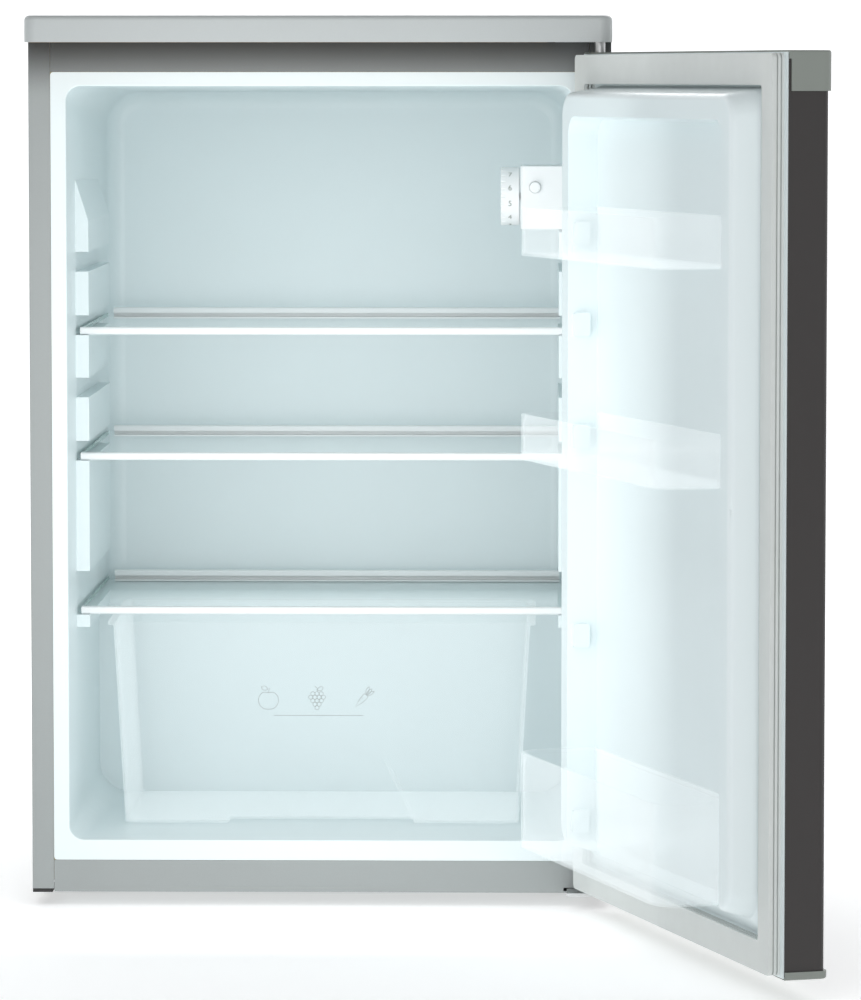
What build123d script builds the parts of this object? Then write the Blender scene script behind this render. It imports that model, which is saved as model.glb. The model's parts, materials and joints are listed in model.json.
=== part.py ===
from build123d import *
import os
from math import cos, radians, sin, sqrt

# Under-counter larder fridge, millimetres.
# X is to the right seen from the front, Y goes into the cabinet, Z is up.
# Origin: on the floor, on the centre plane, under the plane that the door gasket seals against.
# The door and what it carries are drawn shut and then swung open to the angle they rest at.

# ---- driving dimensions ----
WIDTH = 550.0
HEIGHT = 845.0
CABINET_DEPTH = 525.0
SHEET = 1.0
SKIN = 2.0
SEAM = 0.3

SIDE_X = 274.5
FLANGE_X = 254.0
SIDE_FOOT_Z = 17.0
RAIL_BOTTOM_Z = 14.0
RAIL_THICK = 1.5
BOTTOM_RAIL_TOP_Z = 44.3
TOP_RAIL_BOTTOM_Z = 792.4
CABINET_TOP_Z = 820.0
FOOT_PLATE_Y, RAIL_DEPTH = 140.0, 48.0

WORKTOP_FRONT_Y = -42.0
WORKTOP_REAR_Y = 532.0
WORKTOP_WALL, WORKTOP_ROOF = 2.5, 3.0
WORKTOP_CORNER, WORKTOP_EDGE = 11.0, 5.0
BACK_SCREW_X, BACK_SCREW_Y = 180.0, 505.0
HINGE_SCREW_XS, HINGE_SCREW_Y = (234, 264), 28.0
LOW_SCREW_X, LOW_SCREW_YS = 244.0, (22, 46)
SCREW_HOLE = 2.6

# liner opening at the front and at the back wall: half width, floor and ceiling
OPENING_X, OPENING_FLOOR_Z, OPENING_TOP_Z = 239.0, 64.0, 779.0
REAR_X, REAR_FLOOR_Z, REAR_TOP_Z = 236.5, 66.0, 773.0
LINER_DEPTH = 470.0
MOUTH_CORNER, REAR_CORNER = 14.0, 38.0
HUMP_Y, HUMP_TOP_Z = 342.0, 269.9

# shelf guides on the liner's side walls
GUIDE_X, GUIDE_Y0, GUIDE_Y1 = 226.0, 92.0, 352.0
GUIDE_Z0, GUIDE_TOP_Z = 258.0, 650.0
GUIDE_FADE_X, GUIDE_FADE_Z = 238.0, 688.0
SLOT_FLOORS = [601.0, 540.0, 480.0, 419.0]
SLOT_HEIGHT, LEDGE_SPACE = 19.0, 42.0

# compressor bay
BAY_FRONT_Y, BAY_TOP_Z = 374.0, 233.0
UNDERSIDE_Z = 26.0
FOAM_X = 257.0

# shelves: z of the underside of the front trim
SHELF_X, SHELF_Y0, SHELF_Y1 = 234.5, 94.0, 445.0
TOP_SHELF_Z, MIDDLE_SHELF_Z, COVER_Z = 540.3, 419.3, 270.2
TRIM_HEIGHT, TRIM_DEPTH, REAR_TRIM_HEIGHT = 7.2, 9.0, 12.0
GLASS, GLASS_LIFT, GLASS_BITE = 4.0, 2.2, 6.0

# crisper drawer: half widths and front and rear faces at the rim and at the base
DRAWER_CENTRE_X = -3.0
DRAWER_Z0, DRAWER_Z1 = 67.0, 262.0
DRAWER_TOP_X, DRAWER_BASE_X = 202.0, 191.0
DRAWER_TOP_Y0, DRAWER_TOP_Y1 = 95.0, 334.0
DRAWER_BASE_Y0, DRAWER_BASE_Y1 = 98.0, 326.0
DRAWER_WALL = 2.2
PULL_TOP_Z, PULL_TOP_X, PULL_BASE_X, PULL_DEPTH = 136.5, 57.0, 90.0, 28.0

# control housing on the hinge-side wall
HOUSING_X, HOUSING_WALL_X, HOUSING_Y0, HOUSING_Y1 = 189.0, 235.0, 95.0, 205.0
HOUSING_Z0, HOUSING_Z1 = 642.0, 702.0
LENS_Y0, LENS_Y1, LENS_Z0, LENS_Z1 = 160.0, 196.0, 650.0, 694.0
KNOB_R, KNOB_WIDTH, KNOB_Y, KNOB_Z = 28.0, 18.0, 125.0, 673.0
SHAFT_R = 3.0
BUTTON_R, BUTTON_TRAVEL, BUTTON_X, BUTTON_Z = 5.5, 5.0, 203.0, 682.0

# door, drawn shut
HINGE_X, HINGE_Y, DOOR_OPEN = 263.5, -24.0, 107.7
DOOR_X, DOOR_FRONT_Y, DOOR_BACK_Y = 275.0, -50.0, -13.0
DOOR_Z0, DOOR_Z1 = 20.0, 810.4
CAP_Z, CAP_WALL, CAP_PROUD, BASE_CAP_Z = 776.0, 1.5, 2.8, 27.0
GASKET_X, GASKET_Z0, GASKET_Z1, GASKET_WIDTH = 268.0, 23.0, 808.0, 27.0
GASKET_FACE_Y, FLANGE_Y = -0.8, -11.6
DYKE_BASE_X, DYKE_TOP_X, DYKE_Y, DYKE_CORNER = 240.0, 233.0, 24.0, 22.0
DYKE_Z0, DYKE_Z1, DYKE_DRAFT = 50.0, 780.0, 7.0
DYKE_STEP_X, DYKE_STEP_Z0, DYKE_STEP_Z1, DYKE_STEP_Y = 237.8, 66.2, 776.8, -1.5
RECESS_X, RECESS_Z0, RECESS_Z1, RECESS_Y = 211.0, 60.0, 752.0, -4.0
DOOR_SKIN = 1.8

BIN_X, BIN_Y0, BIN_Y1, BIN_WALL, BIN_RIM = 206.5, -2.5, 77.0, 2.0, 3.4
BIN_INNER_CORNER, BIN_OUTER_CORNER = 10.0, 24.0
BINS = {"upper_bin": (624.0, 668.0), "middle_bin": (436.0, 478.0), "bottle_bin": (76.0, 164.0)}
LUG_PROUD, LUG_Y0, LUG_Y1, LUG_HEIGHT, LUG_LIFT = 5.0, 4.0, 20.0, 22.0, 8.0
SPARE_LUGS = [540.0, 250.0]

PIN_R, PIN_GAP, BUSH_R, HINGE_PLATE = 5.0, 0.05, 8.0, 3.0
FOOT_X, FRONT_FOOT_Y, REAR_FOOT_Y, FOOT_R = 225.0, 112.0, 496.0, 17.0
STUD_R = 4.0

# compressor
COMP_X, COMP_Y, COMP_R, COMP_Z0, COMP_HEIGHT = 70.0, 449.0, 68.0, 36.0, 152.0
COMP_FOOT_X, COMP_FOOT_Y = 78.0, 52.0
GLAND_Z = 128.0

# condenser on the back
COND_X, COND_Z0, COND_PITCH, COND_PASSES, TUBE_R, WIRE_R = 214.0, 270.0, 42.0, 11, 2.5, 0.8
COND_Y = CABINET_DEPTH + 14.0
FEED_Z, DRIER_TOP_Z, DRIER_Y = 138.0, 150.0, 508.0
DRAIN_Y, DRAIN_Z, DRAIN_LOW_Z = 484.0, 275.5, 214.0
DRAIN_R, DRAIN_BORE_R = 5.5, 3.5

# evaporator in the foam behind the liner, and the suction line down from it
EVAP_TUBE_X, EVAP_Z0 = 176.0, 340.0
EVAP_Y = LINER_DEPTH + SKIN + 1.65 + TUBE_R
SUCTION_X, SUCTION_Y, SUCTION_R = -196.0, 500.0, 4.0


def span(x0, x1, y0, y1, z0, z1):
    """Box between two corners."""
    centre = ((x0 + x1) / 2, (y0 + y1) / 2, (z0 + z1) / 2)
    return Pos(*centre) * Box(abs(x1 - x0), abs(y1 - y0), abs(z1 - z0))


def both_sides(part):
    """The part and its mirror image across the centre plane."""
    return [part, mirror(part, about=Plane.YZ)]


def front_sheet(x, z0, z1, y, corner):
    """Rounded rectangle standing in the plane at y, centred on x = 0."""
    plane = Plane(origin=(0, y, (z0 + z1) / 2), x_dir=(1, 0, 0), z_dir=(0, 1, 0))
    return plane * RectangleRounded(2 * x, z1 - z0, corner)


def level_sheet(x, y0, y1, z, corner, centre_x=0.0):
    """Rounded rectangle lying in the plane at z."""
    return Pos(centre_x, (y0 + y1) / 2, z) * RectangleRounded(2 * x, y1 - y0, corner)


def rod(start, end, radius):
    """Round bar between two points."""
    start, end = Vector(*start), Vector(*end)
    plane = Plane(origin=start, z_dir=end - start)
    return extrude(plane * Circle(radius), (end - start).length)


def pipe(points, bend, radius):
    """Round tube, modelled solid, along straight runs joined by tangent arcs."""
    path = FilletPolyline(*points, radius=bend)
    return sweep(Plane(origin=path @ 0, z_dir=path % 0) * Circle(radius), path=path)


def swung(part):
    """Turn a part drawn with the door shut about the hinge axis to the resting angle."""
    return Pos(HINGE_X, HINGE_Y, 0) * Rot(0, 0, DOOR_OPEN) * Pos(-HINGE_X, -HINGE_Y, 0) * part


def save(part, node):
    """Write one node; a list becomes a group of separate solids."""
    if isinstance(part, list):
        part = Compound(children=[piece for item in part for piece in item.solids()])
    export_step(part, f"parts/{node}.step")


# ---- cabinet shell ----
def worktop_cover():
    """Silver-grey top with turned-down edges."""
    plan = level_sheet(WIDTH / 2, WORKTOP_FRONT_Y, WORKTOP_REAR_Y, CABINET_TOP_Z, WORKTOP_CORNER)
    outer = extrude(plan, HEIGHT - CABINET_TOP_Z)
    top_edges = outer.edges().group_by(Axis.Z)[-1]
    return fillet(top_edges, WORKTOP_EDGE) - worktop_core()


def worktop_core():
    """Block that fills the turned-down cover."""
    wall = WORKTOP_WALL
    y0, y1 = WORKTOP_FRONT_Y + wall, WORKTOP_REAR_Y - wall
    plan = level_sheet(WIDTH / 2 - wall, y0, y1, CABINET_TOP_Z, WORKTOP_CORNER - wall)
    return extrude(plan, HEIGHT - CABINET_TOP_Z - WORKTOP_ROOF)


def worktop_board():
    """Chipboard in the cover, pocketed over the top hinge."""
    z = CABINET_TOP_Z
    board = worktop_core() - span(214, WIDTH / 2 + 1, WORKTOP_FRONT_Y + 4.5, 44, z - 1, z + 9)
    for x in (-BACK_SCREW_X, BACK_SCREW_X):
        board -= rod((x, BACK_SCREW_Y, z - 1), (x, BACK_SCREW_Y, z + 10.2), 2.1)
    return board


def side_panel():
    """Right-hand panel: side, front flange and rear return."""
    panel = span(SIDE_X - SHEET, SIDE_X, 0, CABINET_DEPTH, SIDE_FOOT_Z, CABINET_TOP_Z)
    panel += span(FLANGE_X, SIDE_X, 0, SHEET, SIDE_FOOT_Z, CABINET_TOP_Z)
    y = CABINET_DEPTH
    panel += span(SIDE_X - 14, SIDE_X, y - SHEET, y, SIDE_FOOT_Z, CABINET_TOP_Z)
    front_corner = panel.edges().filter_by(Axis.Z).sort_by(lambda e: e.center().X - e.center().Y)[-1]
    return fillet(front_corner, 0.9)


def top_front_rail():
    """Front strip with its top shelf, which carries the top hinge."""
    x, z = FLANGE_X - SEAM, CABINET_TOP_Z
    rail = span(-x, x, 0, SHEET, TOP_RAIL_BOTTOM_Z, z)
    rail += span(-x, x, 0, RAIL_DEPTH, z - SHEET, z)
    rail += span(x - 30, SIDE_X - SHEET - SEAM, SHEET + SEAM, RAIL_DEPTH, z - SHEET, z)
    for hole_x in HINGE_SCREW_XS:
        rail -= rod((hole_x, HINGE_SCREW_Y, z - 20), (hole_x, HINGE_SCREW_Y, z + 10), SCREW_HOLE)
    return rail


def top_panel():
    edge, z = SIDE_X - SHEET - SEAM, CABINET_TOP_Z
    panel = span(-edge, edge, RAIL_DEPTH + SEAM, CABINET_DEPTH - SHEET - SEAM, z - SHEET, z)
    for x in (-BACK_SCREW_X, BACK_SCREW_X):
        panel -= rod((x, BACK_SCREW_Y, z - 20), (x, BACK_SCREW_Y, z + 10), 2.1)
    return panel


def bottom_front_rail():
    """Plinth rail with the plate that carries the front feet and the bottom hinge."""
    edge = FLANGE_X - SEAM
    rail = span(-edge, edge, 0, RAIL_THICK, RAIL_BOTTOM_Z, BOTTOM_RAIL_TOP_Z)
    rail += span(-edge, edge, 0, FOOT_PLATE_Y, RAIL_BOTTOM_Z, RAIL_BOTTOM_Z + RAIL_THICK)
    plate_top = RAIL_BOTTOM_Z + RAIL_THICK
    rail -= span(231, edge + 1, -1, RAIL_THICK, plate_top, plate_top + 3.4)
    for x in (-FOOT_X, FOOT_X):
        rail -= rod((x, FRONT_FOOT_Y, 0), (x, FRONT_FOOT_Y, 30), STUD_R + 0.06)
    for y in LOW_SCREW_YS:
        rail -= rod((LOW_SCREW_X, y, 5), (LOW_SCREW_X, y, 30), SCREW_HOLE)
    return [rail] + foot_nuts()


def foot_nuts():
    """Nuts welded on the rail for the levelling feet."""
    nuts = []
    z = RAIL_BOTTOM_Z + RAIL_THICK
    for x in (-FOOT_X, FOOT_X):
        body = extrude(Pos(x, FRONT_FOOT_Y, z) * RegularPolygon(8.5, 6), 8)
        nuts.append(body - rod((x, FRONT_FOOT_Y, 0), (x, FRONT_FOOT_Y, 40), STUD_R + 0.06))
    return nuts


def corner_blocks():
    block = span(FLANGE_X + 1.5, SIDE_X - 0.2, 0.4, 42, 13.4, SIDE_FOOT_Z - 0.1)
    return both_sides(block)


def base_plate():
    z0, z1 = RAIL_BOTTOM_Z, RAIL_BOTTOM_Z + RAIL_THICK
    edge = SIDE_X - SHEET - SEAM
    plate = span(-edge, edge, FOOT_PLATE_Y + SEAM, CABINET_DEPTH - 2, z0, z1)
    plate += span(-edge, edge, CABINET_DEPTH - 3.5, CABINET_DEPTH - 2, z0, z0 + 16)
    for x in (-1, 1):
        for y in (-1, 1):
            hole = (COMP_X + x * COMP_FOOT_X, COMP_Y + y * COMP_FOOT_Y)
            plate -= rod((*hole, 0), (*hole, 30), 3.1)
    for x in (-FOOT_X, FOOT_X):
        plate -= rod((x, REAR_FOOT_Y, 0), (x, REAR_FOOT_Y, 30), 4.1)
    return plate


def back_panel():
    y = CABINET_DEPTH - 0.1
    return span(-FOAM_X, FOAM_X, y - SHEET, y, BAY_TOP_Z + 0.2, CABINET_TOP_Z - SHEET - SEAM)


def bay_lining():
    """Folded sheet that closes the foam towards the plinth and the compressor bay."""
    x = FOAM_X
    sheet = span(-x, x, 2, BAY_FRONT_Y + SHEET, UNDERSIDE_Z - SHEET, UNDERSIDE_Z)
    sheet += span(-x, x, BAY_FRONT_Y, BAY_FRONT_Y + SHEET, UNDERSIDE_Z - SHEET, BAY_TOP_Z)
    sheet += span(-x, x, BAY_FRONT_Y, CABINET_DEPTH - 1.2, BAY_TOP_Z - SHEET, BAY_TOP_Z)
    sheet -= rod((COMP_X, DRAIN_Y, 200), (COMP_X, DRAIN_Y, 260), DRAIN_R + 0.3)
    sheet -= rod((SUCTION_X, SUCTION_Y, 200), (SUCTION_X, SUCTION_Y, 260), SUCTION_R + 0.2)
    return sheet


# ---- liner and foam ----
def cavity(grow):
    """The air space of the liner, or its outer envelope when grown by the skin."""
    front_z = (OPENING_FLOOR_Z - grow, OPENING_TOP_Z + grow)
    rear_z = (REAR_FLOOR_Z - grow, REAR_TOP_Z + grow)
    front = front_sheet(OPENING_X + grow, *front_z, 0, MOUTH_CORNER + grow)
    rear = front_sheet(REAR_X + grow, *rear_z, LINER_DEPTH + grow, REAR_CORNER + grow)
    space = loft([front, rear])
    back_edges = space.faces().sort_by(Axis.Y)[-1].edges()
    return fillet(back_edges, 18 + grow)


def hump(inset):
    """Step over the compressor bay, or the foam inside it when inset by the skin."""
    x = FOAM_X - SEAM
    block = span(-x, x, HUMP_Y + inset, LINER_DEPTH + 30, OPENING_FLOOR_Z - 20, HUMP_TOP_Z - inset)
    front_edge = block.edges().filter_by(Axis.X).sort_by(lambda e: e.center().Z - e.center().Y)[-1]
    return fillet(front_edge, 14 - inset)


def guide_top(inset):
    """Slope that fades the guide into the wall above it."""
    outer_x, y0, y1 = FOAM_X - SEAM, GUIDE_Y0 + inset, GUIDE_Y1 - inset

    def level(x, z):
        inner_x = x + inset
        return Pos((inner_x + outer_x) / 2, (y0 + y1) / 2, z - inset) * Rectangle(outer_x - inner_x, y1 - y0)

    return loft([level(GUIDE_X, GUIDE_TOP_Z), level(GUIDE_FADE_X, GUIDE_FADE_Z)])


def shelf_guides(inset):
    """Ribs on both side walls with shelf slots and the crisper ledge, or the foam inside them."""

    def guide(top_z):
        x0, x1 = GUIDE_X + inset, FOAM_X - SEAM
        y0, y1 = GUIDE_Y0 + inset, GUIDE_Y1 - inset
        block = span(x0, x1, y0, y1, GUIDE_Z0 + inset, top_z - inset)
        gaps = [(z, z + SLOT_HEIGHT) for z in SLOT_FLOORS] + [(COVER_Z - SEAM, COVER_Z + LEDGE_SPACE)]
        for low, high in gaps:
            block -= span(x0 - 1, x1 + 1, y0 - 1, y1 + 1, low - inset, high + inset)
        return block

    left = guide(GUIDE_TOP_Z) + guide_top(inset)
    return mirror(left, about=Plane.YZ) + guide(HOUSING_Z0 - 3)


def liner():
    """Moulded inner box with its front flange, the shelf guides and the step over the compressor."""
    low, high = BOTTOM_RAIL_TOP_Z + SEAM, TOP_RAIL_BOTTOM_Z - SEAM
    flange = extrude(front_sheet(FLANGE_X - SEAM, low, high, 0, 3), 1.4)
    shell = (cavity(SKIN) + flange) - cavity(0)
    walls = shell + (hump(0) & cavity(SKIN)) + (shelf_guides(0) & cavity(SKIN))
    walls = walls - hump(SKIN) - shelf_guides(SKIN)
    mouth = walls.faces().sort_by(Axis.Y)[0].inner_wires()[0].edges()
    walls = fillet(mouth, 1.2)
    drain_y0, drain_y1 = LINER_DEPTH - 12, LINER_DEPTH + 12
    walls -= rod((COMP_X, drain_y0, DRAIN_Z), (COMP_X, drain_y1, DRAIN_Z), DRAIN_BORE_R + 0.2)
    return walls


def cabinet_foam():
    """Insulation between the liner and the outer panels, with room for what is set in it."""
    rear_y, top_z = CABINET_DEPTH - 1.2, CABINET_TOP_Z - 1.2
    block = span(-FOAM_X, FOAM_X, 1.6, rear_y, UNDERSIDE_Z + 0.1, top_z)
    inset = SKIN + SEAM
    block -= cavity(inset) - hump(inset) - shelf_guides(inset)
    block -= span(-FOAM_X - 1, FOAM_X + 1, BAY_FRONT_Y - 0.1, CABINET_DEPTH, 0, BAY_TOP_Z + 0.1)
    block -= span(-196, 196, LINER_DEPTH + SKIN, LINER_DEPTH + SKIN + 8, 318, 722)
    drain_room = DRAIN_R + 1
    bend_y, bend_z = DRAIN_Y + drain_room, DRAIN_Z + drain_room
    block -= rod((COMP_X, LINER_DEPTH, DRAIN_Z), (COMP_X, bend_y, DRAIN_Z), drain_room)
    block -= rod((COMP_X, DRAIN_Y, 200), (COMP_X, DRAIN_Y, bend_z), drain_room)
    block -= span(222, FOAM_X + 1, 16, 40, CABINET_TOP_Z - 14, CABINET_TOP_Z)
    for x in (-BACK_SCREW_X, BACK_SCREW_X):
        block -= rod((x, BACK_SCREW_Y, CABINET_TOP_Z - 6), (x, BACK_SCREW_Y, CABINET_TOP_Z), 6)
    room = SUCTION_R + 1
    block -= rod((SUCTION_X, SUCTION_Y, 200), (SUCTION_X, SUCTION_Y, EVAP_Z0 + room), room)
    z0, z1 = EVAP_Z0 - 2 * room, EVAP_Z0 + room
    block -= span(SUCTION_X - room, 2 - EVAP_TUBE_X, EVAP_Y - 3, SUCTION_Y + room, z0, z1)
    return block


def evaporator():
    """Plate in the foam behind the liner, with the coil soldered on it."""
    coil = pipe(serpentine(EVAP_TUBE_X, EVAP_Z0, 44, 9, EVAP_Y), 21, TUBE_R)
    plate = span(-190, 190, LINER_DEPTH + SKIN + 0.1, LINER_DEPTH + SKIN + 1.6, 322, 718)
    return [plate, coil]


def serpentine(x, z0, pitch, passes, y):
    """Corner points of a coil of level passes, climbing from z0."""
    points = []
    for i in range(passes):
        ends = (-x, x) if i % 2 == 0 else (x, -x)
        points += [(end, y, z0 + i * pitch) for end in ends]
    return points


def drain_tube():
    """Pipe from the gutter behind the shelves down to the drip tray."""
    mouth, top = (COMP_X, LINER_DEPTH + SKIN + 0.1, DRAIN_Z), (COMP_X, DRAIN_Y, DRAIN_Z)
    low, below = (COMP_X, DRAIN_Y, DRAIN_LOW_Z), (COMP_X, DRAIN_Y, DRAIN_LOW_Z - 1)
    start = (COMP_X, LINER_DEPTH, DRAIN_Z)
    outer = rod(mouth, top, DRAIN_R) + (Pos(*top) * Sphere(DRAIN_R)) + rod(top, low, DRAIN_R)
    bore = rod(start, top, DRAIN_BORE_R) + (Pos(*top) * Sphere(DRAIN_BORE_R))
    bore += rod(top, below, DRAIN_BORE_R)
    return outer - bore


# ---- refrigerating unit ----
def compressor_shell():
    """Welded steel pot with its foot plate."""
    r, h, wall = COMP_R, COMP_HEIGHT, 3.0

    def pot(inset):
        body = Pos(COMP_X, COMP_Y, COMP_Z0 + h / 2) * Cylinder(r - inset, h - 2 * inset)
        return fillet(body.edges().filter_by(GeomType.CIRCLE), 34 - inset)

    body = pot(0) - pot(wall)
    seam = Pos(COMP_X, COMP_Y, COMP_Z0 + h * 0.56) * (Cylinder(r + 3, 5) - Cylinder(r - wall / 2, 5))
    plate = Pos(COMP_X, COMP_Y, COMP_Z0 - 1.5) * Box(2 * COMP_FOOT_X + 24, 2 * COMP_FOOT_Y + 24, 3)
    plate = fillet(plate.edges().filter_by(Axis.Z), 11)
    for x in (-COMP_FOOT_X, COMP_FOOT_X):
        for y in (-COMP_FOOT_Y, COMP_FOOT_Y):
            plate -= rod((COMP_X + x, COMP_Y + y, 0), (COMP_X + x, COMP_Y + y, 60), 6.6)
    return body + seam + plate


def compressor_motor():
    z = COMP_Z0 + 26
    stator = Pos(COMP_X, COMP_Y, z + 27) * Cylinder(46, 54)
    pump = Pos(COMP_X, COMP_Y, z + 54 + 16) * Box(70, 52, 32)
    springs = [Pos(COMP_X + x, COMP_Y, z - 11.4) * Cylinder(6, 22.8) for x in (-24, 24)]
    return stator + pump + springs


def compressor_mounts():
    """Four rubber grommets between the foot plate and the base plate."""
    mounts = []
    z0, z1 = RAIL_BOTTOM_Z + RAIL_THICK, COMP_Z0 - 3
    for x in (-COMP_FOOT_X, COMP_FOOT_X):
        for y in (-COMP_FOOT_Y, COMP_FOOT_Y):
            at = (COMP_X + x, COMP_Y + y)
            body = rod((*at, z0), (*at, z1), 10) + rod((*at, z0), (*at, COMP_Z0 + 0.4), 6.5)
            body += rod((*at, COMP_Z0 + 0.1), (*at, COMP_Z0 + 5), 9)
            mounts.append(body - rod((*at, 0), (*at, 60), 3.1))
    return mounts


def compressor_bolts():
    bolts = []
    for x in (-COMP_FOOT_X, COMP_FOOT_X):
        for y in (-COMP_FOOT_Y, COMP_FOOT_Y):
            at = (COMP_X + x, COMP_Y + y)
            bolt = rod((*at, RAIL_BOTTOM_Z - 0.3), (*at, COMP_Z0 + 6), 3)
            head = extrude(Pos(*at, COMP_Z0 + 5) * RegularPolygon(6.5, 6), 4.5)
            bolts.append(bolt + head)
    return bolts


def starter_box():
    x0 = COMP_X - COMP_R - 46
    box = span(x0, x0 + 42, COMP_Y - 26, COMP_Y + 26, 92, 150)
    box = fillet(box.edges().filter_by(Axis.X), 5)
    box -= span(x0 + 3, x0 + 39, COMP_Y - 23.5, COMP_Y + 23.5, 94.5, 147.5)
    return box - rod((x0 + 21, COMP_Y, GLAND_Z), (x0 + 21, COMP_Y + 30, GLAND_Z), 4)


def starter_relay():
    x0 = COMP_X - COMP_R - 46
    return span(x0 + 6, x0 + 38, COMP_Y - 18, COMP_Y + 18, 100, 142)


def cord_gland():
    """Bush in the starter box's rear side that the supply cord passes through."""
    x, y, z = COMP_X - COMP_R - 25, COMP_Y + 26, GLAND_Z
    bush = rod((x, y + 0.1, z), (x, y + 9, z), 8)
    return bush - rod((x, y - 1, z), (x, y + 12, z), 4)


def drip_tray():
    """Melt water dries up in this tray on top of the warm compressor."""
    z0 = COMP_Z0 + COMP_HEIGHT + 0.3
    outer = extrude(level_sheet(66, COMP_Y - 58, COMP_Y + 58, z0, 12, COMP_X), 20)
    return outer - extrude(level_sheet(64, COMP_Y - 56, COMP_Y + 56, z0 + 2, 10, COMP_X), 20)


def condenser_tube():
    """Coil with its feed rising on the left and its outlet falling on the right."""
    coil = serpentine(COND_X, COND_Z0, COND_PITCH, COND_PASSES, COND_Y)
    feed_x = COND_X + 24
    feed = [(-feed_x, COND_Y, FEED_Z), (-feed_x, COND_Y, COND_Z0)]
    top = COND_Z0 + (COND_PASSES - 1) * COND_PITCH
    outlet = [
        (feed_x, COND_Y, top),
        (feed_x, COND_Y, DRIER_TOP_Z + 27),
        (feed_x, DRIER_Y, DRIER_TOP_Z + 27),
        (feed_x, DRIER_Y, DRIER_TOP_Z + 0.1),
    ]
    points = feed + coil[1:-1] + outlet
    bends = [20] * (len(points) - 4) + [12, 12]
    return pipe(points, bends, TUBE_R)


def condenser_wires():
    wires = []
    z0, z1 = COND_Z0 - 12, COND_Z0 + (COND_PASSES - 1) * COND_PITCH + 12
    offset = TUBE_R + WIRE_R + 0.02
    count = 17
    for i in range(count):
        x = -COND_X * 0.88 + i * 2 * COND_X * 0.88 / (count - 1)
        for side in (-offset, offset):
            wires.append(rod((x, COND_Y + side, z0), (x, COND_Y + side, z1), WIRE_R))
    return wires


def condenser_clips():
    """Stand-offs that hold the coil clear of the back."""
    clips = []
    for x in (-153, 153):
        for z in (COND_Z0, COND_Z0 + (COND_PASSES - 1) * COND_PITCH):
            block = span(x - 8, x + 8, CABINET_DEPTH, COND_Y + TUBE_R + 3, z - 7, z + 7)
            clips.append(block - rod((x - 20, COND_Y, z), (x + 20, COND_Y, z), TUBE_R + 0.05))
    return clips


def discharge_pipe():
    """Hot gas line from the compressor to the coil's feed."""
    offset = 40
    x, z = COMP_X - offset, FEED_Z - 30
    start_y = COMP_Y + sqrt(COMP_R**2 - (offset - TUBE_R) ** 2) + SEAM
    corners = [(x, COND_Y, z), (-COND_X - 24, COND_Y, z), (-COND_X - 24, COND_Y, FEED_Z - 0.1)]
    return pipe([(x, start_y, z)] + corners, 12, TUBE_R)


def filter_drier():
    x = COND_X + 24
    body = rod((x, DRIER_Y, DRIER_TOP_Z - 90), (x, DRIER_Y, DRIER_TOP_Z), 9)
    return fillet(body.edges().filter_by(GeomType.CIRCLE), 5)


def suction_pipe():
    """Cold gas line from the evaporator down through the foam to the compressor."""
    x, y, z = SUCTION_X, SUCTION_Y, EVAP_Z0
    joint_y = EVAP_Y + SUCTION_R - TUBE_R + 0.5
    start = [(-EVAP_TUBE_X - 0.1, joint_y, z), (x, joint_y, z), (x, y, z)]
    level = COMP_Z0 + COMP_HEIGHT - 28
    end = [(x, y, level), (x, COMP_Y, level), (COMP_X - COMP_R - 0.1, COMP_Y, level)]
    return pipe(start + end, [7, 9, 20, 20], SUCTION_R)


# ---- control housing ----
def control_housing():
    """Box on the hinge-side wall, open towards the wall, for the thermostat and the lamp."""
    x, y = HOUSING_X, HOUSING_Y0
    outer = span(x, HOUSING_WALL_X, y, HOUSING_Y1, HOUSING_Z0, HOUSING_Z1)
    outer = fillet(outer.edges().filter_by(Axis.Z).sort_by(Axis.X)[:2], 4)
    z0, z1 = HOUSING_Z0 + SKIN, HOUSING_Z1 - SKIN
    body = outer - span(x + SKIN, HOUSING_WALL_X + 1, y + SKIN, HOUSING_Y1 - SKIN, z0, z1)
    body -= rod((x - 1, KNOB_Y, KNOB_Z), (x + 5, KNOB_Y, KNOB_Z), SHAFT_R + 1)
    body -= rod((BUTTON_X, y - 1, BUTTON_Z), (BUTTON_X, y + 5, BUTTON_Z), BUTTON_R + SEAM)
    return body - span(x - 1, x + 3, LENS_Y0, LENS_Y1, LENS_Z0, LENS_Z1)


def housing_screw():
    """Screw through the housing's floor into a boss of the wall."""
    return rod((222, 185, HOUSING_Z0 - 1.6), (222, 185, HOUSING_Z0 - 0.05), 4)


def lamp_lens():
    """Ribbed clear window beside the knob."""
    y0, y1, z0, z1 = LENS_Y0 + 0.1, LENS_Y1 - 0.1, LENS_Z0 + 0.1, LENS_Z1 - 0.1
    lens = span(HOUSING_X - 0.6, HOUSING_X + SKIN - 0.2, y0, y1, z0, z1)
    ribs = 5
    for i in range(ribs):
        y = LENS_Y0 + 5 + i * (LENS_Y1 - LENS_Y0 - 10) / (ribs - 1)
        lens += span(HOUSING_X - 1.8, HOUSING_X - 0.5, y - 1.2, y + 1.2, LENS_Z0 + 3, LENS_Z1 - 3)
    return lens


def lamp_bulb():
    y, z = (LENS_Y0 + LENS_Y1) / 2, (LENS_Z0 + LENS_Z1) / 2
    glass = rod((198, y, z), (213, y, z), 8)
    glass = fillet(glass.edges().filter_by(GeomType.CIRCLE).sort_by(Axis.X)[0], 6)
    return glass + rod((212.5, y, z), (219, y, z), 6)


def lamp_holder():
    y, z = (LENS_Y0 + LENS_Y1) / 2, (LENS_Z0 + LENS_Z1) / 2
    return rod((219.1, y, z), (231, y, z), 9)


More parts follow.
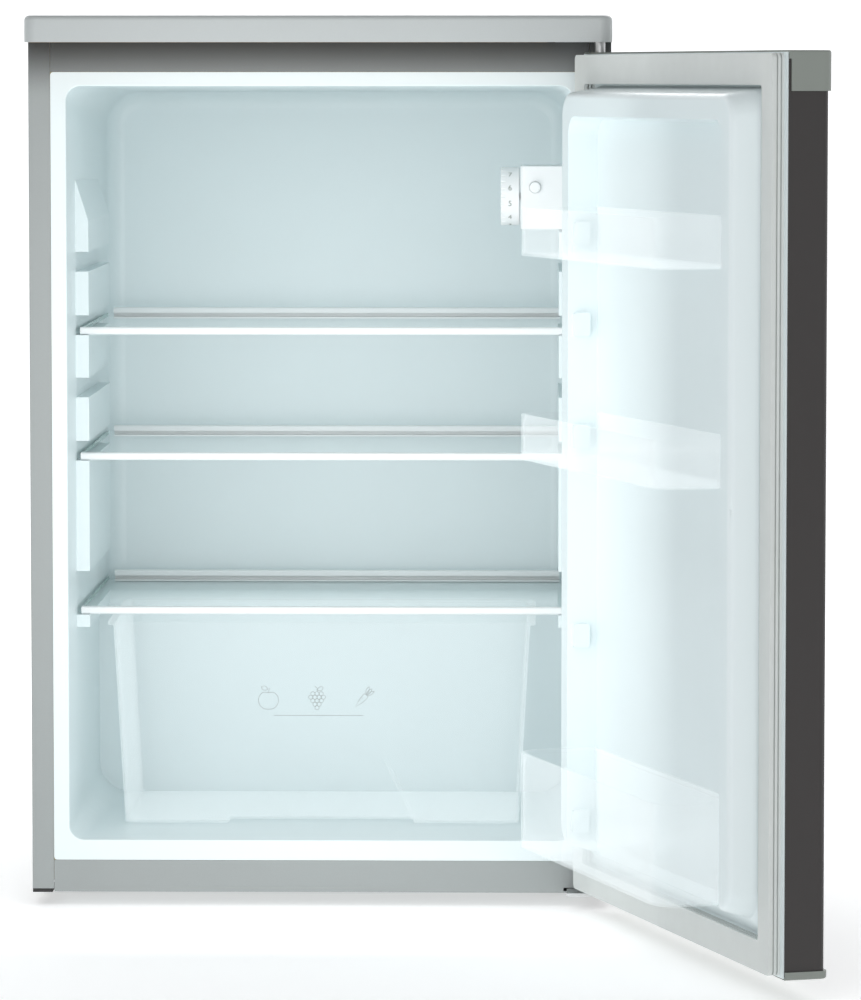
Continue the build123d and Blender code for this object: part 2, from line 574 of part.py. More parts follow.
def thermostat_body():
    """Switch behind the knob, with the bearing that the knob's shaft turns in."""
    body = span(203, 230, KNOB_Y - 13, KNOB_Y + 22, KNOB_Z - 20, KNOB_Z + 8)
    body += rod((HOUSING_X + SKIN + 0.1, KNOB_Y, KNOB_Z), (203, KNOB_Y, KNOB_Z), 7)
    body -= rod((HOUSING_X, KNOB_Y, KNOB_Z), (207, KNOB_Y, KNOB_Z), SHAFT_R + PIN_GAP)
    return body


def thermostat_knob():
    x0 = HOUSING_X - 1 - KNOB_WIDTH
    drum = rod((x0, KNOB_Y, KNOB_Z), (x0 + KNOB_WIDTH, KNOB_Y, KNOB_Z), KNOB_R)
    drum = fillet(drum.edges().filter_by(GeomType.CIRCLE), 1.2)
    grips = 24
    for i in range(grips):
        angle = 360 / grips * i
        y = KNOB_Y + (KNOB_R + 0.6) * cos(radians(angle))
        z = KNOB_Z + (KNOB_R + 0.6) * sin(radians(angle))
        drum -= rod((x0 - 1, y, z), (x0 + 4.5, y, z), 1.4)
    return drum + rod((x0 + 5, KNOB_Y, KNOB_Z), (206, KNOB_Y, KNOB_Z), SHAFT_R)


def switch_button():
    button = rod((BUTTON_X, HOUSING_Y0 - 6, BUTTON_Z), (BUTTON_X, HOUSING_Y0 + 6, BUTTON_Z), BUTTON_R)
    button = fillet(button.edges().filter_by(GeomType.CIRCLE).sort_by(Axis.Y)[0], 1.5)
    return button


def door_switch():
    y0 = HOUSING_Y0 + 6 + BUTTON_TRAVEL + 1.5
    return span(BUTTON_X - 8, BUTTON_X + 8, y0, y0 + 6, BUTTON_Z + 1, HOUSING_Z1 - SKIN - 0.1)


# ---- shelves and drawer ----
def shelf_glass(z):
    """Pane held by the front and rear trims."""
    z0 = z + GLASS_LIFT
    y0, y1 = SHELF_Y0 + TRIM_DEPTH - GLASS_BITE, SHELF_Y1 - TRIM_DEPTH + GLASS_BITE
    pane = span(-SHELF_X, SHELF_X, y0, y1, z0, z0 + GLASS)
    return chamfer(pane.edges().filter_by(Axis.X), 0.4)


def shelf_trims(z):
    """Front trim, and the taller rear trim that keeps food off the back wall."""
    front = span(-SHELF_X, SHELF_X, SHELF_Y0, SHELF_Y0 + TRIM_DEPTH, z, z + TRIM_HEIGHT)
    front = fillet(front.edges().filter_by(Axis.X).sort_by(Axis.Y)[:2], 2.4)
    rear_x = REAR_X - 8
    rear = span(-rear_x, rear_x, SHELF_Y1 - TRIM_DEPTH, SHELF_Y1, z + 0.6, z + REAR_TRIM_HEIGHT)
    rear = fillet(rear.edges().filter_by(Axis.X).sort_by(Axis.Z)[-2:], 2)
    return [front - shelf_glass(z), rear - shelf_glass(z)]


def drawer_body(inset, z0, z1):
    """Tapered tub between two levels, drawn in from the drawer's outside by the inset."""

    def sheet(z):
        part = (z - DRAWER_Z0) / (DRAWER_Z1 - DRAWER_Z0)
        x = DRAWER_BASE_X + (DRAWER_TOP_X - DRAWER_BASE_X) * part - inset
        y0 = DRAWER_BASE_Y0 + (DRAWER_TOP_Y0 - DRAWER_BASE_Y0) * part + inset
        y1 = DRAWER_BASE_Y1 + (DRAWER_TOP_Y1 - DRAWER_BASE_Y1) * part - inset
        return level_sheet(x, y0, y1, z, 14 - inset, DRAWER_CENTRE_X)

    return loft([sheet(z0), sheet(z1)])


def finger_pull(grow):
    """Wedge under which the fingers reach to pull the drawer."""
    z0, z1 = DRAWER_Z0 - 1, PULL_TOP_Z + grow
    side = [
        (PULL_BASE_X + grow, z0),
        (PULL_TOP_X + grow, z1),
        (-PULL_TOP_X - grow, z1),
        (-PULL_BASE_X - grow, z0),
    ]
    plane = Plane(origin=(DRAWER_CENTRE_X, DRAWER_TOP_Y0 - 5, 0), x_dir=(1, 0, 0), z_dir=(0, -1, 0))
    trapezoid = extrude(plane * make_face(Polyline(*side, close=True)), -60)
    depth = DRAWER_BASE_Y0 + PULL_DEPTH + grow
    y0, y1 = DRAWER_TOP_Y0 - 6, DRAWER_TOP_Y0 + 2 + grow
    wedge = [(y0, z0), (depth, z0), (y1, z1 + 1), (y0, z1 + 1)]
    section = Plane.YZ * make_face(Polyline(*wedge, close=True))
    return trapezoid & extrude(section, 200, both=True)


def crisper_drawer():
    """Clear tapered tub with a rim and a finger pull."""
    base, rim_height = DRAWER_Z0 + DRAWER_WALL, 3
    tub = drawer_body(0, DRAWER_Z0, DRAWER_Z1) - drawer_body(DRAWER_WALL, base, DRAWER_Z1 + 1)
    rim_z, y0, y1 = DRAWER_Z1 - rim_height, DRAWER_TOP_Y0 - 1, DRAWER_TOP_Y1 + 3
    rim = extrude(level_sheet(DRAWER_TOP_X + 5, y0, y1, rim_z, 16, DRAWER_CENTRE_X), rim_height)
    rim -= drawer_body(DRAWER_WALL, base, DRAWER_Z1 + 1)
    step = finger_pull(DRAWER_WALL) & drawer_body(0.5, DRAWER_Z0, DRAWER_Z1)
    return (tub + rim + step) - finger_pull(0)


# ---- door, drawn shut ----
def door_skin():
    x, y0, y1 = DOOR_X, DOOR_FRONT_Y, DOOR_BACK_Y
    z0, z1 = DOOR_Z0 + 3, DOOR_Z1 - 3
    outer = span(-x, x, y0, y1, z0, z1)
    outer = fillet(outer.edges().filter_by(Axis.Z).sort_by(Axis.Y)[:2], 6)
    inner = span(-x + SHEET, x - SHEET, y0 + SHEET, y1 - SHEET, z0 - 1, z1 + 1)
    inner = fillet(inner.edges().filter_by(Axis.Z).sort_by(Axis.Y)[:2], 5)
    return outer - inner - span(-x + 14, x - 14, y1 - 5, y1 + 5, z0 - 1, z1 + 1)


def end_cap(z_open, z_end):
    """Moulded cap over the top or bottom end of the door, with the socket for the hinge bush."""
    x, y0, y1 = DOOR_X + CAP_WALL, DOOR_FRONT_Y - CAP_PROUD, DOOR_BACK_Y
    low, high = min(z_open, z_end), max(z_open, z_end)
    outer = span(-x, x, y0, y1, low, high)
    outer = fillet(outer.edges().filter_by(Axis.Z).sort_by(Axis.Y)[:2], 8)
    end_rims = outer.edges().group_by(Axis.Z)[-1 if z_end > z_open else 0].filter_by(Axis.X)
    outer = fillet(end_rims.sort_by(Axis.Y)[0], 2)
    gap = 0.1
    roof = 2.4 if z_end > z_open else -2.4
    inner_z = sorted((z_open - roof, z_end - roof))
    inner = span(-DOOR_X - gap, DOOR_X + gap, DOOR_FRONT_Y - gap, y1 + 1, *inner_z)
    inner = fillet(inner.edges().filter_by(Axis.Z).sort_by(Axis.Y)[:2], 6)
    cap = outer - inner
    cap -= span(-x - 1, x + 1, y1 - 2, y1 + 1, *sorted((z_open, z_end - 3 * roof)))
    cap -= rod((HINGE_X, HINGE_Y, low - 1), (HINGE_X, HINGE_Y, high + 1), BUSH_R + PIN_GAP)
    return cap


def hinge_bushes():
    """Plastic bearings for the two hinge pins."""
    top = rod((HINGE_X, HINGE_Y, DOOR_Z1 - 24), (HINGE_X, HINGE_Y, DOOR_Z1), BUSH_R)
    top -= rod((HINGE_X, HINGE_Y, DOOR_Z1 - 22), (HINGE_X, HINGE_Y, DOOR_Z1 + 1), PIN_R + PIN_GAP)
    base = rod((HINGE_X, HINGE_Y, DOOR_Z0), (HINGE_X, HINGE_Y, DOOR_Z0 + 22), BUSH_R)
    base -= rod((HINGE_X, HINGE_Y, DOOR_Z0 - 1), (HINGE_X, HINGE_Y, DOOR_Z0 + 20), PIN_R + PIN_GAP)
    return [top, base]


def tapered_block(x_low, z_low, x_high, z_high, y_low, y_high, corner):
    """Block whose outline changes evenly between two depths; the z pairs are (bottom, top)."""
    return loft([front_sheet(x_low, *z_low, y_low, corner), front_sheet(x_high, *z_high, y_high, corner)])


def dyke(shrink):
    """Raised rim of the door liner as one filled block, stepped in where it enters the liner's mouth."""
    z_base = (DYKE_Z0 + shrink, DYKE_Z1 - shrink)
    z_step = (DYKE_STEP_Z0 + shrink, DYKE_STEP_Z1 - shrink)
    z_high = (DYKE_STEP_Z0 + DYKE_DRAFT + shrink, DYKE_Z1 - DYKE_DRAFT - shrink)
    base_x, step_x, top_x = DYKE_BASE_X - shrink, DYKE_STEP_X - shrink, DYKE_TOP_X - shrink
    step_y = DYKE_STEP_Y - shrink
    block = tapered_block(base_x, z_base, step_x, z_step, DOOR_BACK_Y, step_y, DYKE_CORNER)
    block += tapered_block(step_x, z_step, top_x, z_high, step_y, DYKE_Y - shrink, DYKE_CORNER)
    if shrink:
        return block
    return fillet(block.faces().sort_by(Axis.Y)[-1].edges(), 6)


def recess(grow):
    """Hollow between the rims where the bins hang, down to the liner's middle panel."""
    z_low = (RECESS_Z0 + 4 - grow, RECESS_Z1 - 4 + grow)
    z_high = (RECESS_Z0 - grow, RECESS_Z1 + grow)
    x_low, x_high = RECESS_X - 1.5 + grow, RECESS_X + 0.5 + grow
    return tapered_block(x_low, z_low, x_high, z_high, RECESS_Y - grow, DYKE_Y + 5, 18)


def bin_lugs():
    """Blocks on the inner sides of the rims that carry the bins, with spare ones between."""
    lugs = []
    floors = [z0 for z0, _ in BINS.values()] + SPARE_LUGS
    for z0 in floors:
        low = z0 + LUG_LIFT
        lug = span(RECESS_X - LUG_PROUD - 1, RECESS_X + 0.4, LUG_Y0, LUG_Y1, low, low + LUG_HEIGHT)
        lugs += both_sides(fillet(lug.edges().filter_by(Axis.X), 3))
    return lugs


def door_liner():
    x = DOOR_X - 1.2
    flange = span(-x, x, DOOR_BACK_Y + 0.05, FLANGE_Y, DOOR_Z0 + 1.5, DOOR_Z1 - 1.5)
    solid = (flange + dyke(0)) - recess(0)
    hollow = dyke(DOOR_SKIN) - recess(DOOR_SKIN)
    return solid - hollow + bin_lugs()


def door_foam():
    y0, y1 = DOOR_FRONT_Y + SHEET + 0.1, DOOR_BACK_Y - SHEET - 0.1
    x = DOOR_X - SHEET - 0.1
    block = span(-x, x, y0, y1, DOOR_Z0 + 4, DOOR_Z1 - 4)
    block = fillet(block.edges().filter_by(Axis.Z).sort_by(Axis.Y)[:2], 5)
    block += span(-x + 14, x - 14, y1 - 1, DOOR_BACK_Y, DOOR_Z0 + 4, DOOR_Z1 - 4)
    block += dyke(DOOR_SKIN + SEAM)
    block -= recess(DOOR_SKIN + SEAM)
    socket = BUSH_R + 0.05
    block -= rod((HINGE_X, HINGE_Y, DOOR_Z1 - 24.5), (HINGE_X, HINGE_Y, DOOR_Z1), socket)
    block -= rod((HINGE_X, HINGE_Y, DOOR_Z0), (HINGE_X, HINGE_Y, DOOR_Z0 + 22.5), socket)
    return block


def gasket_frame(outset, width, y0, y1):
    """Mitred frame following the gasket, from its outer edge less the outset."""
    x, z0, z1 = GASKET_X - outset, GASKET_Z0 + outset, GASKET_Z1 - outset
    ring = extrude(front_sheet(x, z0, z1, y0, 5), y1 - y0)
    return ring - extrude(front_sheet(x - width, z0 + width, z1 - width, y0 - 1, 3), y1 - y0 + 2)


def door_gasket():
    seal = gasket_frame(0, GASKET_WIDTH, FLANGE_Y, GASKET_FACE_Y)
    for y in (FLANGE_Y + 2.2, FLANGE_Y + 5.8):
        seal -= gasket_frame(-1, 3.2, y, y + 1.4)
        seal -= gasket_frame(GASKET_WIDTH - 2.2, 3.2, y, y + 1.4)
    return seal - gasket_frame(7, 12, GASKET_FACE_Y - 3.2, GASKET_FACE_Y - 0.7)


def gasket_magnets():
    return gasket_frame(7, 12, GASKET_FACE_Y - 3.2, GASKET_FACE_Y - 0.7)


def bin_outline(inset, z):
    """Plan of a bin: tight corners against the door, round ones on the outer side."""
    outline = Rectangle(2 * (BIN_X - inset), BIN_Y1 - BIN_Y0 - 2 * inset)
    outline = fillet(outline.vertices().sort_by(Axis.Y)[:2], BIN_INNER_CORNER - inset)
    outline = fillet(outline.vertices().sort_by(Axis.Y)[-2:], BIN_OUTER_CORNER - inset)
    return Pos(0, (BIN_Y0 + BIN_Y1) / 2, z) * outline


def door_bin(z0, z1):
    """Clear tub with a notch over the lug at each end."""

    def tub(inset, low, high):
        body = extrude(bin_outline(inset, low), high - low)
        for side in (-1, 1):
            x = side * (BIN_X + 1)
            notch_x = side * (RECESS_X - LUG_PROUD - 1.8 - inset)
            top = z0 + LUG_LIFT + LUG_HEIGHT + SEAM + inset
            body -= span(notch_x, x, LUG_Y0 - 1.5 - inset, LUG_Y1 + 1.5 + inset, z0 - 1, top)
        return body

    rim = extrude(bin_outline(0, z1 - BIN_RIM), BIN_RIM)
    rim -= extrude(bin_outline(BIN_RIM, z1 - BIN_RIM - 1), BIN_RIM + 2)
    return tub(0, z0, z1) - tub(BIN_WALL, z0 + BIN_WALL, z1 + 1) + rim


# ---- hinges and feet ----
def top_hinge():
    """Plate on the cabinet's top with the pin that the door's upper bush turns on."""
    z = CABINET_TOP_Z
    plate = span(222, 272, HINGE_Y - 11, 40, z, z + HINGE_PLATE)
    plate = fillet(plate.edges().filter_by(Axis.Z), 6)
    for x in HINGE_SCREW_XS:
        plate -= rod((x, HINGE_SCREW_Y, z - 1), (x, HINGE_SCREW_Y, z + 5), SCREW_HOLE)
    return plate + rod((HINGE_X, HINGE_Y, DOOR_Z1 - 20), (HINGE_X, HINGE_Y, z + 1), PIN_R)


def bottom_hinge():
    """Bracket through the plinth rail with the pin that carries the door."""
    z = RAIL_BOTTOM_Z + RAIL_THICK
    z0, z1, y0 = z + 0.05, z + HINGE_PLATE, HINGE_Y - 9
    plate = span(234, FLANGE_X - 1, y0, 60, z0, z1) + span(234, 272, y0, -2, z0, z1)
    for y in LOW_SCREW_YS:
        plate -= rod((LOW_SCREW_X, y, z - 1), (LOW_SCREW_X, y, z + 5), SCREW_HOLE)
    return plate + rod((HINGE_X, HINGE_Y, z + 1), (HINGE_X, HINGE_Y, DOOR_Z0 + 17), PIN_R)


def hinge_screws():
    """Two screws in each hinge plate."""
    top, low = CABINET_TOP_Z + HINGE_PLATE, RAIL_BOTTOM_Z + RAIL_THICK + HINGE_PLATE
    places = [(x, HINGE_SCREW_Y, top, 10) for x in HINGE_SCREW_XS]
    places += [(LOW_SCREW_X, y, low, 7) for y in LOW_SCREW_YS]
    screws = []
    for x, y, z, length in places:
        screws.append(rod((x, y, z - length), (x, y, z + 1), 2.5) + rod((x, y, z), (x, y, z + 3), 5))
    return screws


def worktop_screws():
    """Screws up through the top panel into the worktop's board."""
    screws = []
    y, z = BACK_SCREW_Y, CABINET_TOP_Z - SHEET
    for x in (-BACK_SCREW_X, BACK_SCREW_X):
        shank = rod((x, y, z - 1), (x, y, CABINET_TOP_Z + 10), 2)
        screws.append(shank + rod((x, y, z - 3), (x, y, z - 0.05), 4))
    return screws


def front_foot(x):
    """Levelling foot: ribbed disc with a threaded stud."""
    foot = rod((x, FRONT_FOOT_Y, 0), (x, FRONT_FOOT_Y, 9), FOOT_R)
    foot = chamfer(foot.edges().filter_by(GeomType.CIRCLE), 1)
    for i in range(12):
        angle = radians(30 * i)
        at = (x + (FOOT_R + 1) * cos(angle), FRONT_FOOT_Y + (FOOT_R + 1) * sin(angle))
        foot -= rod((*at, 2), (*at, 10), 2.4)
    return foot + rod((x, FRONT_FOOT_Y, 8), (x, FRONT_FOOT_Y, 24.3), STUD_R)


def rear_feet():
    feet = []
    for x in (-FOOT_X, FOOT_X):
        foot = rod((x, REAR_FOOT_Y, 0), (x, REAR_FOOT_Y, RAIL_BOTTOM_Z - 0.05), 15)
        foot = chamfer(foot.edges().filter_by(GeomType.CIRCLE).sort_by(Axis.Z)[0], 1)
        feet.append(foot + rod((x, REAR_FOOT_Y, 10), (x, REAR_FOOT_Y, 20), 4))
    return feet


def cabinet_parts():
    left_side, right_side = mirror(side_panel(), about=Plane.YZ), side_panel()
    return {
        "worktop_cover": worktop_cover(),
        "worktop_board": worktop_board(),
        "panel_screws": worktop_screws() + [housing_screw()],
        "left_side_panel": left_side,
        "right_side_panel": right_side,
        "top_front_rail": top_front_rail(),
        "top_panel": top_panel(),
        "bottom_front_rail": bottom_front_rail(),
        "corner_blocks": corner_blocks(),
        "base_plate": base_plate(),
        "back_panel": back_panel(),
        "bay_lining": bay_lining(),
        "liner": liner(),
        "cabinet_foam": cabinet_foam(),
        "rear_feet": rear_feet(),
        "front_foot_left": front_foot(-FOOT_X),
        "front_foot_right": front_foot(FOOT_X),
        "top_hinge": top_hinge(),
        "bottom_hinge": bottom_hinge(),
        "hinge_screws": hinge_screws(),
    }


def cooling_parts():
    return {
        "evaporator": evaporator(),
        "drain_tube": drain_tube(),
        "compressor_shell": compressor_shell(),
        "compressor_motor": compressor_motor(),
        "compressor_mounts": compressor_mounts(),
        "compressor_bolts": compressor_bolts(),
        "starter_box": starter_box(),
        "starter_relay": starter_relay(),
        "cord_gland": cord_gland(),
        "drip_tray": drip_tray(),
        "condenser": [condenser_tube()] + condenser_wires(),
        "condenser_clips": condenser_clips(),
        "refrigerant_pipes": [discharge_pipe(), suction_pipe()],
        "filter_drier": filter_drier(),
    }


def inside_parts():
    parts = {
        "control_housing": control_housing(),
        "lamp_lens": lamp_lens(),
        "lamp_bulb": lamp_bulb(),
        "lamp_holder": lamp_holder(),
        "thermostat_body": thermostat_body(),
        "thermostat_knob": thermostat_knob(),
        "switch_button": switch_button(),
        "door_switch": door_switch(),
        "crisper_drawer": crisper_drawer(),
    }
    heights = {"top_shelf": TOP_SHELF_Z, "middle_shelf": MIDDLE_SHELF_Z, "crisper_cover": COVER_Z}
    for name, z in heights.items():
        parts[name + "_glass"] = shelf_glass(z)
        parts[name + "_trims"] = shelf_trims(z)
    return parts


def door_parts():
    parts = {
        "door_skin": door_skin(),
        "door_top_cap": end_cap(CAP_Z, DOOR_Z1),
        "door_bottom_cap": end_cap(BASE_CAP_Z, DOOR_Z0),
        "hinge_bushes": hinge_bushes(),
        "door_foam": door_foam(),
        "door_liner": door_liner(),
        "door_gasket": door_gasket(),
        "gasket_magnets": gasket_magnets(),
    }
    for name, (z0, z1) in BINS.items():
        parts[name] = door_bin(z0, z1)
    swing = {}
    for name, part in parts.items():
        swing[name] = [swung(piece) for piece in part] if isinstance(part, list) else swung(part)
    return swing


os.makedirs("parts", exist_ok=True)
for group in (cabinet_parts, cooling_parts, inside_parts, door_parts):
    for node, shape in group().items():
        save(shape, node)
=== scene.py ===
import json
from math import cos, exp, pi, radians, sin

import bpy
from mathutils import Matrix, Vector


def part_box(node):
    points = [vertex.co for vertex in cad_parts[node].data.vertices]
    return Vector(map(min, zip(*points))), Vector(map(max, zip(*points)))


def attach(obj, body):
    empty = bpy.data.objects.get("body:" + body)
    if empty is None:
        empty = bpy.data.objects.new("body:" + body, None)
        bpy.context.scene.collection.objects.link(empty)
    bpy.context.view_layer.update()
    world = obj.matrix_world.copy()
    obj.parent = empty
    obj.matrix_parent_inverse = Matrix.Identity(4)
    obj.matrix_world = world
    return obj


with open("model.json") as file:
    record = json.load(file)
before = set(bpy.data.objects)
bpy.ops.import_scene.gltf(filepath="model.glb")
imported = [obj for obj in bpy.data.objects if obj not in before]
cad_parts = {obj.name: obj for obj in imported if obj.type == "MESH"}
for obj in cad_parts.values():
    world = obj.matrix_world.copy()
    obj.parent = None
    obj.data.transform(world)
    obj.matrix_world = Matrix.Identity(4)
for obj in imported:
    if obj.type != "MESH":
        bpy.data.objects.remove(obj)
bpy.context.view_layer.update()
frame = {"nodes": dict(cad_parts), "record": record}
MM = 0.001

# heights between which a painted shadow of the worktop darkens the front's enamel
SHADE_LOW_Z, SHADE_TOP_Z = 765 * MM, 822 * MM

# front of the crisper drawer: its y at the base, how far it leans out over its height, and the marks on it
DRAWER_BASE_Y, DRAWER_LEAN, DRAWER_BASE_Z, DRAWER_HEIGHT = 98 * MM, 3 * MM, 67 * MM, 195 * MM
MARK_LIFT, MARK_WIDTH, MARK_CENTRE_SHIFT = 0.2 * MM, 0.45 * MM, -4 * MM
PICTURE_SIZE, PICTURE_Z = 19 * MM, 189 * MM
RULE_Z, RULE_ENDS = 172 * MM, (-42 * MM, 45 * MM)
APPLE_X, GRAPES_X, CARROT_X = -47 * MM, 0.0, 45 * MM

# thermostat drum: centre, radius of the print, and the angles between and before its numbers
DRUM_CENTRE, PRINT_RADIUS = Vector((179 * MM, 125 * MM, 673 * MM)), 28.02 * MM
NUMBER_STEP, LEAN_OF_5 = radians(31), radians(-14)
NUMBER_SIZE, NUMBER_DEPTH = 7.5 * MM, 0.05 * MM

# studio: how far the floor reaches, where it starts to rise, the radius of the rise and the backdrop's top
FLOOR_REACH, RISE_Y, RISE_RADIUS, BACKDROP_TOP_Z = 40.0, 2.6, 1.2, 6.0


# ---- shader arithmetic ----
class Level:
    """A value in a finish's node tree. Arithmetic on it adds Math nodes."""

    def __init__(self, finish, socket):
        self.finish, self.socket = finish, socket

    def math(self, operation, *others):
        return self.finish.node("ShaderNodeMath", {"operation": operation}, dict(enumerate((self, *others))))

    def swapped(self, operation, other):
        return self.finish.node("ShaderNodeMath", {"operation": operation}, {0: other, 1: self})

    def __add__(self, other):
        return self.math("ADD", other)

    def __rsub__(self, other):
        return self.swapped("SUBTRACT", other)

    def __mul__(self, other):
        return self.math("MULTIPLY", other)

    __radd__, __rmul__ = __add__, __mul__

    def over(self, edge):
        return self.math("GREATER_THAN", edge)


class Finish:
    """One material, built node by node."""

    def __init__(self, name):
        self.material = bpy.data.materials.new(name)
        self.material.use_nodes = True
        self.tree = self.material.node_tree
        self.tree.nodes.clear()
        self.output = self.tree.nodes.new("ShaderNodeOutputMaterial")

    def node(self, kind, settings=None, sockets=None, out=0):
        """Adds a node: its settings first, then the values or links of its sockets."""
        made = self.tree.nodes.new(kind)
        for key, value in (settings or {}).items():
            setattr(made, key, value)
        for key, value in (sockets or {}).items():
            socket = made.inputs[key]
            if isinstance(value, Level):
                self.tree.links.new(value.socket, socket)
            else:
                socket.default_value = value
        return Level(self, made.outputs[out])

    def place(self):
        """Where a point is on the object, in metres."""
        return self.node("ShaderNodeTexCoord", out="Object")

    def stretched(self, scale):
        return self.node("ShaderNodeMapping", {}, {"Vector": self.place(), "Scale": scale})

    def noise(self, scale, detail=3.0, stretch=(1, 1, 1), rough=0.55):
        return self.node(
            "ShaderNodeTexNoise",
            {},
            {"Vector": self.stretched(stretch), "Scale": scale, "Detail": detail, "Roughness": rough},
        )

    def cells(self, scale, out="Distance"):
        return self.node("ShaderNodeTexVoronoi", {}, {"Vector": self.place(), "Scale": scale}, out)

    def mix(self, amount, first, second):
        """Colour between two others."""
        return self.node("ShaderNodeMix", {"data_type": "RGBA"}, {0: amount, 6: first, 7: second}, out=2)

    def spread(self, value, low, high):
        """Takes 0..1 to low..high."""
        return value * (high - low) + low

    def bump(self, height, depth):
        return self.node("ShaderNodeBump", {}, {"Strength": 1.0, "Distance": depth, "Height": height})

    def facing(self, blend):
        return self.node("ShaderNodeLayerWeight", {}, {"Blend": blend}, out="Facing")

    def normal_part(self, axis):
        """How far the surface turns towards an axis, without its sign."""
        normal = self.node("ShaderNodeTexCoord", out="Normal")
        return self.node("ShaderNodeSeparateXYZ", {}, {0: normal}, out=axis).math("ABSOLUTE")

    def under_worktop(self):
        """Mask of the painted worktop shadow: 0 low on the front, rising to 1 right under the worktop."""
        height = self.node("ShaderNodeSeparateXYZ", {}, {0: self.place()}, out="Z")
        rise = self.node("ShaderNodeMapRange", {"interpolation_type": "SMOOTHSTEP"},
                         {"Value": height, "From Min": SHADE_LOW_Z, "From Max": SHADE_TOP_Z})
        return rise * self.normal_part("Y").over(0.7)

    def close(self, sockets):
        shader = self.node("ShaderNodeBsdfPrincipled", {}, sockets)
        self.tree.links.new(shader.socket, self.output.inputs["Surface"])
        return self.material


def rgb(r, g, b):
    return (r, g, b, 1.0)


def shade(colour, factor):
    return rgb(*(min(1.0, c * factor) for c in colour[:3]))


# ---- finishes ----
def enamel(name, colour, rough=0.38, metal=0.0, flake=0.0, worktop_shadow_depth=0.0):
    """Sprayed enamel: orange peel, faint flake, uneven gloss, and a painted shadow that darkens the front
    under the worktop.
    """
    f = Finish(name)
    cloud, peel = f.noise(7.0, 2.0), f.noise(420.0, 2.0)
    base = f.mix(cloud, shade(colour, 0.97), shade(colour, 1.03))
    if flake:
        base = f.mix(f.cells(2600.0) * flake, base, shade(colour, 1.5))
    # painted shadow: front faces turn near black right under the worktop's overhang
    if worktop_shadow_depth:
        base = f.mix(f.under_worktop() * worktop_shadow_depth, base, shade(colour, 0.06))
    gloss = f.spread(f.noise(26.0, 4.0), rough - 0.05, rough + 0.05)
    return f.close({"Base Color": base, "Roughness": gloss, "Metallic": metal,
                    "Normal": f.bump(peel, 0.00005)})


def moulded(name, colour, rough=0.36, grain=900.0, depth=0.00002):
    """Moulded plastic: fine grain, faint clouding and rub marks."""
    f = Finish(name)
    cloud, rub = f.noise(9.0, 3.0), f.noise(60.0, 5.0, (1, 1, 6))
    base = f.mix(cloud, shade(colour, 0.975), shade(colour, 1.01))
    gloss = f.spread(rub, rough - 0.06, rough + 0.07)
    return f.close({"Base Color": base, "Roughness": gloss, "Normal": f.bump(f.noise(grain, 2.0), depth)})


def sheet_metal(name, colour, rough=0.36, spangle=120.0):
    """Galvanised sheet with its crystal spangle."""
    f = Finish(name)
    crystals = f.node("ShaderNodeSeparateColor", {}, {0: f.cells(spangle, "Color")})
    base = f.mix(crystals, shade(colour, 0.84), shade(colour, 1.05))
    gloss = f.spread(crystals, rough - 0.08, rough + 0.1)
    return f.close({"Base Color": base, "Roughness": gloss, "Metallic": 0.95,
                    "Normal": f.bump(f.noise(300.0), 0.00002)})


def drawn_metal(name, colour, rough):
    """Drawn or turned metal with fine lines and a little tarnish."""
    f = Finish(name)
    lines, tarnish = f.noise(90.0, 4.0, (1, 1, 40)), f.noise(35.0, 5.0)
    base = f.mix(tarnish, shade(colour, 0.78), shade(colour, 1.05))
    gloss = f.spread(lines, rough - 0.08, rough + 0.12)
    return f.close({"Base Color": base, "Roughness": gloss, "Metallic": 1.0,
                    "Normal": f.bump(lines, 0.00002)})


def soft_rubber(name, colour, rough=0.6):
    """Extruded rubber, matt, with a little bloom on it."""
    f = Finish(name)
    bloom = f.noise(40.0, 5.0)
    base = f.mix(bloom, shade(colour, 0.95), shade(colour, 1.06))
    return f.close({"Base Color": base, "Roughness": f.spread(bloom, rough - 0.1, rough + 0.1),
                    "Normal": f.bump(f.noise(700.0), 0.00003)})


def cut_foam(name, colour):
    """Rigid foam: open cells on a cut face."""
    f = Finish(name)
    cells = f.cells(700.0)
    base = f.mix(cells, shade(colour, 0.7), shade(colour, 1.05))
    return f.close({"Base Color": base, "Roughness": 0.9, "Normal": f.bump(cells, 0.0006)})


def pressed_chips(name, colour):
    """Chipboard: flat chips of several browns."""
    f = Finish(name)
    chips = f.node("ShaderNodeSeparateColor", {}, {0: f.cells(260.0, "Color")})
    base = f.mix(chips, shade(colour, 0.6), shade(colour, 1.25))
    return f.close({"Base Color": base, "Roughness": f.spread(chips, 0.7, 0.9),
                    "Normal": f.bump(chips, 0.0002)})


def clear_plastic(name, tint, body=0.02, edge=0.6, rough=0.06):
    """Clear styrene: almost nothing face on, milky along its edges, with flow marks in the gloss and a faint
    painted glow of its own tint.
    """
    f = Finish(name)
    flow = f.noise(22.0, 3.0, (1, 1, 0.4))
    return f.close({"Base Color": f.mix(flow, shade(tint, 0.98), shade(tint, 1.02)),
                    "Roughness": f.spread(flow, rough - 0.03, rough + 0.05), "IOR": 1.45,
                    # painted glow: the plastic gives off a faint light of its own tint, though it is no lamp
                    "Emission Color": tint, "Emission Strength": 0.22,
                    "Alpha": f.spread(f.facing(0.42).math("POWER", 2.6), body, edge)})


def float_glass(name, tint, edge_tint, body=0.1, edge=0.92):
    """Toughened glass with green ground edges."""
    f = Finish(name)
    ground = f.normal_part("X").over(0.7)
    smear = f.noise(14.0, 4.0)
    return f.close({"Base Color": f.mix(ground, tint, edge_tint), "Roughness": f.spread(smear, 0.02, 0.07),
                    "IOR": 1.5, "Alpha": f.spread(ground, body, edge)})


